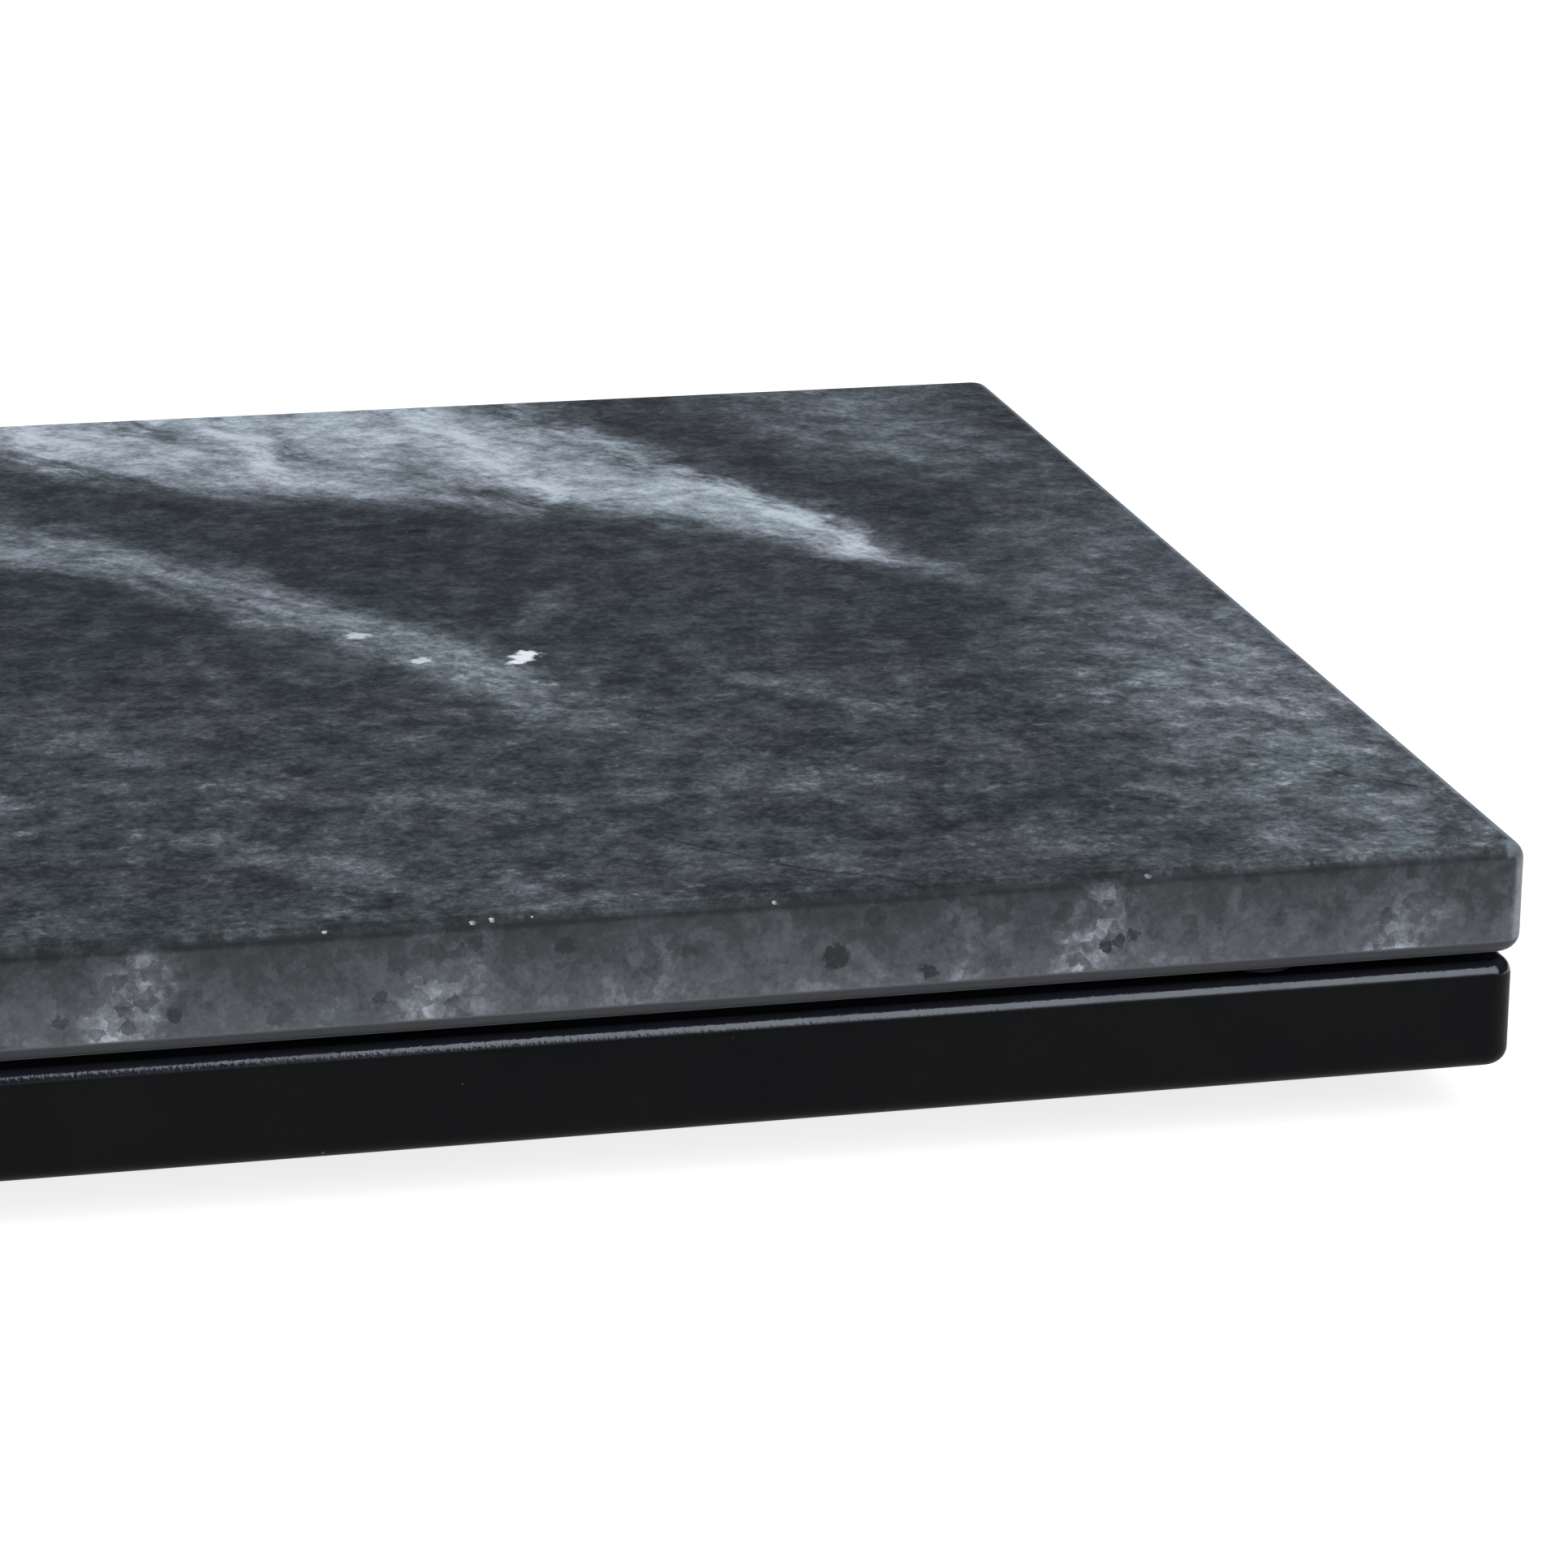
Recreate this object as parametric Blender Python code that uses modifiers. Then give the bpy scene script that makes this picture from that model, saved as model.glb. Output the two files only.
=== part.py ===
"""Stone tooling slab on a welded square-tube base with four levelling feet.

Frame of reference: +Z up, floor at z = 0 under the foot pads, X along the slab's long side,
front at -Y, origin on the floor below the middle of the slab. All sizes are in metres.
"""
import math

import bmesh
import bpy
from mathutils import Matrix

# --- Slab -------------------------------------------------------------------------------------
SLAB_LENGTH = 0.600
SLAB_DEPTH = 0.400
SLAB_THICKNESS = 0.020
SLAB_EDGE_RADIUS = 0.0032
SLAB_CORNER_RADIUS = 0.005

# --- Welded base ------------------------------------------------------------------------------
TUBE_SIZE = 0.020
TUBE_WALL = 0.002
TUBE_CORNER_RADIUS = 0.003
FRAME_END_INSET = 0.0005
FRAME_FRONT_INSET = 0.002
FRAME_GROUND_RADIUS = 0.005
CROSS_RAIL_SPACING = 0.200
GUSSET_LEG = 0.070
GUSSET_TIP = 0.010
GUSSET_THICKNESS = 0.004

# --- Slab pads --------------------------------------------------------------------------------
SLAB_PAD_RADIUS = 0.007
SLAB_PAD_THICKNESS = 0.0014
SLAB_PAD_END_OFFSET = 0.045

# --- Levelling feet, M8 -----------------------------------------------------------------------
FOOT_OFFSET = 0.024
STUD_RADIUS = 0.004
STUD_PIVOT_RADIUS = 0.0042
STUD_TIP_CHAMFER = 0.0008
STUD_TOP_CLEARANCE = 0.00195
HEX_ACROSS_FLATS = 0.013
STUD_HEX_HEIGHT = 0.003
JAM_NUT_HEIGHT = 0.0036
WELD_NUT_HEIGHT = 0.0065
FOOT_BASE_RADIUS = 0.013
FOOT_NECK_RADIUS = 0.0075
FOOT_BASE_HEIGHT = 0.0035
FOOT_FLANGE_HEIGHT = 0.0016
FOOT_SOCKET_DEPTH = 0.0022
FOOT_PAD_RADIUS = 0.0125
FOOT_PAD_THICKNESS = 0.0017

# --- Clearances -------------------------------------------------------------------------------
SEAT_GAP = 0.0003
THREAD_GAP = 0.0003
GUSSET_HOLE_GAP = 0.0005
CUTTER_MARGIN = 0.004

# --- Resolution -------------------------------------------------------------------------------
EDGE_SEGMENTS = 4
CORNER_SEGMENTS = 6
TUBE_SEGMENTS = 4
ROUND_STEPS = 24

# --- Levels, worked out from the floor up -----------------------------------------------------
BASE_BOTTOM = FOOT_PAD_THICKNESS + SEAT_GAP
BASE_TOP = BASE_BOTTOM + FOOT_BASE_HEIGHT
HEX_BOTTOM = BASE_TOP + SEAT_GAP
HEX_TOP = HEX_BOTTOM + STUD_HEX_HEIGHT
JAM_NUT_BOTTOM = HEX_TOP + SEAT_GAP
GUSSET_BOTTOM = JAM_NUT_BOTTOM + JAM_NUT_HEIGHT + SEAT_GAP
WELD_NUT_BOTTOM = GUSSET_BOTTOM + GUSSET_THICKNESS + SEAT_GAP
# The gusset meets the tube just above its rounded lower corner.
FRAME_BOTTOM = GUSSET_BOTTOM - TUBE_CORNER_RADIUS
FRAME_TOP = FRAME_BOTTOM + TUBE_SIZE
SLAB_PAD_BOTTOM = FRAME_TOP + SEAT_GAP
SLAB_BOTTOM = SLAB_PAD_BOTTOM + SLAB_PAD_THICKNESS + SEAT_GAP
# The stud stops just short of the slab, which leaves 6.2 mm of travel with the weld nut filled.
STUD_TOP = SLAB_BOTTOM - STUD_TOP_CLEARANCE

# --- Plan sizes that several pieces share -----------------------------------------------------
FRAME_LENGTH = SLAB_LENGTH - 2 * FRAME_END_INSET
FRAME_DEPTH = SLAB_DEPTH - 2 * FRAME_FRONT_INSET
RAIL_X = (FRAME_LENGTH - TUBE_SIZE) / 2
RAIL_Y = (FRAME_DEPTH - TUBE_SIZE) / 2
INNER_X = FRAME_LENGTH / 2 - TUBE_SIZE
INNER_Y = FRAME_DEPTH / 2 - TUBE_SIZE
FOOT_X = INNER_X - FOOT_OFFSET
FOOT_Y = INNER_Y - FOOT_OFFSET
SLAB_PAD_X = FRAME_LENGTH / 2 - SLAB_PAD_END_OFFSET
CROSS_RAIL_X = CROSS_RAIL_SPACING / 2

# Each corner: name, side of X, side of Y, and the turn that brings the front left corner there.
CORNERS = (
    ("front_left", -1, -1, 0),
    ("front_right", 1, -1, 90),
    ("back_right", 1, 1, 180),
    ("back_left", -1, 1, 270),
)


# --- Scene helpers ----------------------------------------------------------------------------
def clear_scene():
    for old in list(bpy.data.objects):
        bpy.data.objects.remove(old)


def new_collection(name):
    collection = bpy.data.collections.new(name)
    bpy.context.scene.collection.children.link(collection)
    return collection


def new_material(name, colour, roughness, metallic):
    material = bpy.data.materials.new(name)
    material.use_nodes = True
    shader = material.node_tree.nodes["Principled BSDF"]
    shader.inputs["Base Color"].default_value = (*colour, 1.0)
    shader.inputs["Roughness"].default_value = roughness
    shader.inputs["Metallic"].default_value = metallic
    return material


def add_part(name, mesh, collection, finish, location=(0, 0, 0), turn=0.0, parent=None):
    """Puts a mesh in the scene as a named piece with its own material, smooth where it is round."""
    colour, roughness, metallic = finish
    mesh.name = name
    mesh.materials.clear()
    mesh.materials.append(new_material(name, colour, roughness, metallic))
    mesh.shade_smooth()
    mesh.set_sharp_from_angle(angle=math.radians(32))
    part = bpy.data.objects.new(name, mesh)
    part.location = location
    part.rotation_euler.z = math.radians(turn)
    part.parent = parent
    collection.objects.link(part)
    return part


def add_axis(name, collection, location, turn=0.0):
    axis = bpy.data.objects.new(name, None)
    axis.empty_display_size = 0.02
    axis.location = location
    axis.rotation_euler.z = math.radians(turn)
    collection.objects.link(axis)
    return axis


def evaluated_mesh(source):
    """The mesh that an object's modifiers or curve settings give, with its caps welded on."""
    bpy.context.view_layer.update()
    depsgraph = bpy.context.evaluated_depsgraph_get()
    mesh = bpy.data.meshes.new_from_object(source.evaluated_get(depsgraph))
    solid = bmesh.new()
    solid.from_mesh(mesh)
    bmesh.ops.remove_doubles(solid, verts=solid.verts, dist=1e-6)
    bmesh.ops.recalc_face_normals(solid, faces=solid.faces)
    solid.to_mesh(mesh)
    solid.free()
    return mesh


def add_boolean(part, cutter, operation):
    boolean = part.modifiers.new(cutter.name, "BOOLEAN")
    boolean.operation = operation
    boolean.object = cutter


def add_bevel(part, width, segments, angle):
    bevel = part.modifiers.new("rounded edges", "BEVEL")
    bevel.width = width
    bevel.segments = segments
    bevel.limit_method = "ANGLE"
    bevel.angle_limit = math.radians(angle)


# --- Outlines, as lists of (x, y) -------------------------------------------------------------
def arc(centre, radius, start, end, segments):
    points = []
    for step in range(segments + 1):
        angle = math.radians(start + (end - start) * step / segments)
        points.append((centre[0] + radius * math.cos(angle), centre[1] + radius * math.sin(angle)))
    return points


def circle(centre, radius, steps=ROUND_STEPS):
    return arc(centre, radius, 0, 360, steps)[:-1]


def rounded_rectangle(length, width, radius, segments):
    inner_x = length / 2 - radius
    inner_y = width / 2 - radius
    points = []
    for quarter, (side_x, side_y) in enumerate(((1, 1), (-1, 1), (-1, -1), (1, -1))):
        centre = (side_x * inner_x, side_y * inner_y)
        points += arc(centre, radius, 90 * quarter, 90 * quarter + 90, segments)
    return points


def hexagon(across_flats):
    return circle((0, 0), across_flats / math.sqrt(3), 6)


# --- Basic solids -----------------------------------------------------------------------------
def plate(outline, thickness, holes=()):
    """A flat piece whose underside is at z = 0."""
    curve = bpy.data.curves.new("plate outline", "CURVE")
    curve.dimensions = "2D"
    curve.fill_mode = "BOTH"
    curve.extrude = thickness / 2
    for loop in (outline, *holes):
        spline = curve.splines.new("POLY")
        spline.points.add(len(loop) - 1)
        spline.use_cyclic_u = True
        for point, (x, y) in zip(spline.points, loop):
            point.co = (x, y, 0, 1)
    guide = bpy.data.objects.new("plate outline", curve)
    bpy.context.scene.collection.objects.link(guide)
    mesh = evaluated_mesh(guide)
    bpy.data.objects.remove(guide)
    mesh.transform(Matrix.Translation((0, 0, thickness / 2)))
    return mesh


def turned(profile):
    """A solid of revolution about Z. The profile of (radius, z) starts and ends on the axis."""
    mesh = bpy.data.meshes.new("turned profile")
    points = [(radius, 0, height) for radius, height in profile]
    edges = [(index, index + 1) for index in range(len(points) - 1)]
    mesh.from_pydata(points, edges, [])
    guide = bpy.data.objects.new("turned profile", mesh)
    bpy.context.scene.collection.objects.link(guide)
    screw = guide.modifiers.new("turn", "SCREW")
    screw.steps = ROUND_STEPS
    screw.render_steps = ROUND_STEPS
    screw.use_merge_vertices = True
    screw.merge_threshold = 1e-6
    solid = evaluated_mesh(guide)
    bpy.data.objects.remove(guide)
    return solid


# --- Pieces -----------------------------------------------------------------------------------
STONE = ((0.075, 0.082, 0.088), 0.28, 0.0)
BLACK_PAINT = ((0.010, 0.010, 0.010), 0.42, 0.0)
ZINC = ((0.62, 0.62, 0.60), 0.32, 1.0)
DARK_PLASTIC = ((0.020, 0.020, 0.021), 0.50, 0.0)
DARK_RUBBER = ((0.016, 0.016, 0.016), 0.85, 0.0)


def make_slab(collection):
    outline = rounded_rectangle(SLAB_LENGTH, SLAB_DEPTH, SLAB_CORNER_RADIUS, CORNER_SEGMENTS)
    mesh = plate(outline, SLAB_THICKNESS)
    slab = add_part("stone_slab", mesh, collection, STONE, (0, 0, SLAB_BOTTOM))
    add_bevel(slab, SLAB_EDGE_RADIUS, EDGE_SEGMENTS, 60)


def tube(length):
    """A square tube along X, centred on the origin and open at both ends."""
    outside = rounded_rectangle(TUBE_SIZE, TUBE_SIZE, TUBE_CORNER_RADIUS, TUBE_SEGMENTS)
    bore = TUBE_SIZE - 2 * TUBE_WALL
    inside = rounded_rectangle(bore, bore, TUBE_CORNER_RADIUS - TUBE_WALL, TUBE_SEGMENTS)
    mesh = plate(outside, length, [inside])
    mesh.transform(Matrix.Translation((0, 0, -length / 2)))
    mesh.transform(Matrix.Rotation(math.radians(90), 4, "Y"))
    return mesh


def mitred_tube(length):
    """A tube whose long side faces -Y, with ends at 45 degrees that stop half a gap short."""
    mesh = tube(length)
    half_gap = SEAT_GAP / math.sqrt(2)
    for vertex in mesh.vertices:
        shortening = vertex.co.y + TUBE_SIZE / 2 + half_gap
        vertex.co.x -= math.copysign(shortening, vertex.co.x)
    return mesh


def make_corner_cutters(collection):
    """Solids that grind the frame's four vertical corners round."""
    radius = FRAME_GROUND_RADIUS
    outline = arc((radius, radius), radius, 180, 270, CORNER_SEGMENTS)
    outline += [(radius, -CUTTER_MARGIN), (-CUTTER_MARGIN, -CUTTER_MARGIN), (-CUTTER_MARGIN, radius)]
    cutters = {}
    for name, side_x, side_y, turn in CORNERS:
        mesh = plate(outline, TUBE_SIZE + 2 * CUTTER_MARGIN)
        cutter = bpy.data.objects.new("corner_grinder_" + name, mesh)
        height = FRAME_BOTTOM - CUTTER_MARGIN
        cutter.location = (side_x * FRAME_LENGTH / 2, side_y * FRAME_DEPTH / 2, height)
        cutter.rotation_euler.z = math.radians(turn)
        cutter.hide_render = True
        cutter.display_type = "WIRE"
        collection.objects.link(cutter)
        cutters[name] = cutter
    return cutters


def make_rails(collection, cutters):
    level = (FRAME_BOTTOM + FRAME_TOP) / 2
    sides = (
        ("front_rail", FRAME_LENGTH, (0, -RAIL_Y, level), 0, ("front_left", "front_right")),
        ("right_rail", FRAME_DEPTH, (RAIL_X, 0, level), 90, ("front_right", "back_right")),
        ("back_rail", FRAME_LENGTH, (0, RAIL_Y, level), 180, ("back_right", "back_left")),
        ("left_rail", FRAME_DEPTH, (-RAIL_X, 0, level), 270, ("back_left", "front_left")),
    )
    for name, length, location, turn, corners in sides:
        rail = add_part(name, mitred_tube(length), collection, BLACK_PAINT, location, turn)
        for corner in corners:
            add_boolean(rail, cutters[corner], "DIFFERENCE")
    for name, side in (("left_cross_rail", -1), ("right_cross_rail", 1)):
        mesh = tube(2 * INNER_Y - 2 * SEAT_GAP)
        add_part(name, mesh, collection, BLACK_PAINT, (side * CROSS_RAIL_X, 0, level), 90)


def make_slab_pads(collection):
    places = {
        "front_left": (-SLAB_PAD_X, -RAIL_Y),
        "front_middle": (0, -RAIL_Y),
        "front_right": (SLAB_PAD_X, -RAIL_Y),
        "back_left": (-SLAB_PAD_X, RAIL_Y),
        "back_middle": (0, RAIL_Y),
        "back_right": (SLAB_PAD_X, RAIL_Y),
        "left_cross": (-CROSS_RAIL_X, 0),
        "right_cross": (CROSS_RAIL_X, 0),
    }
    for place, (x, y) in places.items():
        mesh = plate(circle((0, 0), SLAB_PAD_RADIUS), SLAB_PAD_THICKNESS)
        location = (x, y, SLAB_PAD_BOTTOM)
        add_part("slab_pad_" + place, mesh, collection, DARK_RUBBER, location)


def make_gussets(collection):
    """Triangular plates with clipped tips, each with its square corner in a corner of the frame."""
    leg = GUSSET_LEG
    low = SEAT_GAP
    outline = [(low, low), (leg, low), (leg, GUSSET_TIP), (GUSSET_TIP, leg), (low, leg)]
    hole = circle((FOOT_OFFSET, FOOT_OFFSET), STUD_RADIUS + GUSSET_HOLE_GAP)
    for name, side_x, side_y, turn in CORNERS:
        mesh = plate(outline, GUSSET_THICKNESS, [hole])
        location = (side_x * INNER_X, side_y * INNER_Y, GUSSET_BOTTOM)
        add_part("gusset_" + name, mesh, collection, BLACK_PAINT, location, turn)


def nut(height):
    return plate(hexagon(HEX_ACROSS_FLATS), height, [circle((0, 0), STUD_RADIUS + THREAD_GAP)])


def stud_shank():
    pivot_bottom = BASE_TOP - FOOT_SOCKET_DEPTH + SEAT_GAP
    return turned([
        (0, STUD_TOP),
        (STUD_RADIUS - STUD_TIP_CHAMFER, STUD_TOP),
        (STUD_RADIUS, STUD_TOP - STUD_TIP_CHAMFER),
        (STUD_RADIUS, HEX_TOP - STUD_HEX_HEIGHT / 2),
        (STUD_PIVOT_RADIUS, HEX_TOP - STUD_HEX_HEIGHT / 2),
        (STUD_PIVOT_RADIUS, pivot_bottom),
        (0, pivot_bottom),
    ])


def foot_base():
    socket_radius = STUD_PIVOT_RADIUS + SEAT_GAP
    socket_floor = BASE_TOP - FOOT_SOCKET_DEPTH
    return turned([
        (0, socket_floor),
        (socket_radius, socket_floor),
        (socket_radius, BASE_TOP),
        (FOOT_NECK_RADIUS, BASE_TOP),
        (FOOT_BASE_RADIUS, BASE_BOTTOM + FOOT_FLANGE_HEIGHT),
        (FOOT_BASE_RADIUS, BASE_BOTTOM),
        (0, BASE_BOTTOM),
    ])


def make_feet(collection, cutters):
    """Each foot hangs on an empty on its stud's axis, at floor level."""
    for name, side_x, side_y, turn in CORNERS:
        axis = add_axis(name + "_foot_axis", collection, (side_x * FOOT_X, side_y * FOOT_Y, 0), turn)

        add_part("weld_nut_" + name, nut(WELD_NUT_HEIGHT), collection, BLACK_PAINT,
                 (0, 0, WELD_NUT_BOTTOM), parent=axis)
        add_part("jam_nut_" + name, nut(JAM_NUT_HEIGHT), collection, ZINC,
                 (0, 0, JAM_NUT_BOTTOM), parent=axis)
        add_part("foot_base_" + name, foot_base(), collection, DARK_PLASTIC, parent=axis)
        pad = plate(circle((0, 0), FOOT_PAD_RADIUS), FOOT_PAD_THICKNESS)
        add_part("foot_pad_" + name, pad, collection, DARK_RUBBER, parent=axis)

        stud = add_part("foot_stud_" + name, stud_shank(), collection, ZINC, parent=axis)
        flange = bpy.data.objects.new("stud_hex_" + name, plate(hexagon(HEX_ACROSS_FLATS), STUD_HEX_HEIGHT))
        flange.location = (0, 0, HEX_BOTTOM)
        flange.parent = axis
        flange.hide_render = True
        flange.display_type = "WIRE"
        cutters.objects.link(flange)
        add_boolean(stud, flange, "UNION")


def main():
    clear_scene()
    parts = new_collection("stone_tooling_slab")
    cutters = new_collection("cutters")
    make_slab(parts)
    make_rails(parts, make_corner_cutters(cutters))
    make_slab_pads(parts)
    make_gussets(parts)
    make_feet(parts, cutters)
    bpy.context.view_layer.update()


main()
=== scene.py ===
"""Looks of the stone tooling slab and its welded base: meshes, materials, light and camera.

Everything is in metres in the model's own frame: +Z up, X along the slab, front at -Y.
"""
import math
import random

import bmesh
import bpy
from mathutils import Matrix, Vector


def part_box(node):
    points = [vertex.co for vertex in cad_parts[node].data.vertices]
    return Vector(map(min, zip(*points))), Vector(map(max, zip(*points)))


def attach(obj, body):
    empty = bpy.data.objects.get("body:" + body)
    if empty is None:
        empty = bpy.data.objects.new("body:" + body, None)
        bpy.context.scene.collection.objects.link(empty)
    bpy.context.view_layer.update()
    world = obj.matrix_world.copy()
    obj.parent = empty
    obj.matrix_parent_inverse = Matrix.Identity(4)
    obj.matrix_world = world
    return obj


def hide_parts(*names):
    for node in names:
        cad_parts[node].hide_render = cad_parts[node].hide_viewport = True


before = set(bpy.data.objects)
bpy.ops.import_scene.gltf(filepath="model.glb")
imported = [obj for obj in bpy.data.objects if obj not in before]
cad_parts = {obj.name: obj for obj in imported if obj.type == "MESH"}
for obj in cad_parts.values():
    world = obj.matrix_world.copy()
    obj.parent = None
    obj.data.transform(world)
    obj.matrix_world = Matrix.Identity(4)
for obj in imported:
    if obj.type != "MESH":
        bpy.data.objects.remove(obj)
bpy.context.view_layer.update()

CORNERS = ("front_left", "front_right", "back_right", "back_left")
PAD_PLACES = ("front_left", "front_middle", "front_right", "back_left", "back_middle", "back_right",
              "left_cross", "right_cross")
OUTER_RAILS = ("front_rail", "right_rail", "back_rail", "left_rail")

# --- Sizes of the finish that the frame doesn't give ---
ARRIS_RADIUS = 0.0032
SLAB_CORNER_RADIUS = 0.005
TUBE_CORNER_RADIUS = 0.003
FRAME_GROUND_RADIUS = 0.005
SEAT_GAP = 0.0003
THREAD_PITCH = 0.00125
THREAD_DEPTH = 0.00055
STUD_RADIUS = 0.0040
STUD_PIVOT_RADIUS = 0.0042
NUT_BORE_RADIUS = 0.0043
GUSSET_BORE_RADIUS = 0.0045
GUSSET_TIP = 0.010
# A nut's flat top is this share of its width, and its corners fall away at this angle.
NUT_CROWN_SHARE = 0.985
NUT_CHAMFER_SLOPE = math.tan(math.radians(30))
# Weld beads, by their reach on each face.
CROSS_WELD = 0.0032
UNDER_WELD = 0.0026
GUSSET_WELD = 0.0030
TACK_WELD = 0.0022
TACK_HALF_LENGTH = 0.0024
WELD_RIPPLE = 0.0019
WELD_STEP = 0.00045
RING_STEPS = 48
FOOT_STEPS = 64
THREAD_STEPS = 32

# --- Camera, from the slab's front right top corner ---
CAMERA_LENS = 94.7
CAMERA_OFFSET = Vector((-0.25742, -0.64244, 0.22650))
CAMERA_YAW = 11.008
CAMERA_PITCH = 17.515
CAMERA_ROLL = -0.281

# --- Light ---
SOFTBOX_PLACE = Vector((4.3, -6.8, 6.2))
SOFTBOX_TARGET = Vector((0.2, -0.1, 0))
SOFTBOX_SIZE = (7.4, 9.4)
SOFTBOX_POWER = 1020
FLOOR_HALF_SIZE = 8
FLOOR_GLOW = 0.80


def srgb(red, green, blue):
    """A display colour of 0 to 255 as the linear colour that a shader takes."""
    linear = []
    for value in (red, green, blue):
        value /= 255
        linear.append(value / 12.92 if value <= 0.04045 else ((value + 0.055) / 1.055) ** 2.4)
    return (*linear, 1.0)


# --- Mesh helpers ---
def new_object(name, mesh, smooth=32):
    if smooth:
        mesh.shade_smooth()
        mesh.set_sharp_from_angle(angle=math.radians(smooth))
    piece = bpy.data.objects.new(name, mesh)
    bpy.context.scene.collection.objects.link(piece)
    return piece


def finish_piece(piece, body, materials, replaced=()):
    """Gives a piece its finish and ties it to the body that it moves with."""
    if list(piece.data.materials) != materials:
        piece.data.materials.clear()
        for material in materials:
            piece.data.materials.append(material)
    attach(piece, body)
    if replaced:
        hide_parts(*replaced)
    return piece


def baked(piece):
    """The piece with its modifiers applied."""
    bpy.context.view_layer.update()
    depsgraph = bpy.context.evaluated_depsgraph_get()
    mesh = bpy.data.meshes.new_from_object(piece.evaluated_get(depsgraph))
    piece.modifiers.clear()
    piece.data = mesh
    return piece


def arc(centre, radius, start, end, steps):
    points = []
    for step in range(steps + 1):
        angle = math.radians(start + (end - start) * step / steps)
        points.append((centre[0] + radius * math.cos(angle), centre[1] + radius * math.sin(angle)))
    return points


def plan_loop(low, high, inset, radius, steps):
    """A rounded rectangle inside a box's plan. Every loop has the same number of points."""
    radius = max(radius, 0.0)
    x0, x1 = low.x + inset + radius, high.x - inset - radius
    y0, y1 = low.y + inset + radius, high.y - inset - radius
    points = []
    for quarter, centre in enumerate(((x1, y1), (x0, y1), (x0, y0), (x1, y0))):
        points += arc(centre, radius, 90 * quarter, 90 * quarter + 90, steps)
    return points


def skin(name, loops, closed_ring=False):
    """Joins loops of equal length with faces. Coincident points are merged."""
    shell = bmesh.new()
    rings = [[shell.verts.new(point) for point in loop] for loop in loops]
    pairs = list(zip(rings, rings[1:]))
    if closed_ring:
        pairs.append((rings[-1], rings[0]))
    for lower, upper in pairs:
        count = len(lower)
        for index in range(count):
            after = (index + 1) % count
            shell.faces.new((lower[index], lower[after], upper[after], upper[index]))
    if not closed_ring:
        shell.faces.new(list(reversed(rings[0])))
        shell.faces.new(rings[-1])
    bmesh.ops.remove_doubles(shell, verts=shell.verts, dist=1e-6)
    bmesh.ops.dissolve_degenerate(shell, edges=shell.edges, dist=1e-7)
    bmesh.ops.recalc_face_normals(shell, faces=shell.faces)
    mesh = bpy.data.meshes.new(name)
    shell.to_mesh(mesh)
    shell.free()
    return mesh


def turned(name, profile, centre, steps=RING_STEPS):
    """A solid of revolution from (radius, z) points, the first and last on its upright axis."""
    loops = []
    for radius, height in profile:
        radius = max(radius, 1e-6)
        loops.append([(x, y, height) for x, y in arc((0, 0), radius, 0, 360, steps)[:-1]])
    mesh = skin(name, loops)
    mesh.transform(Matrix.Translation((centre.x, centre.y, 0)))
    return mesh


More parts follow.
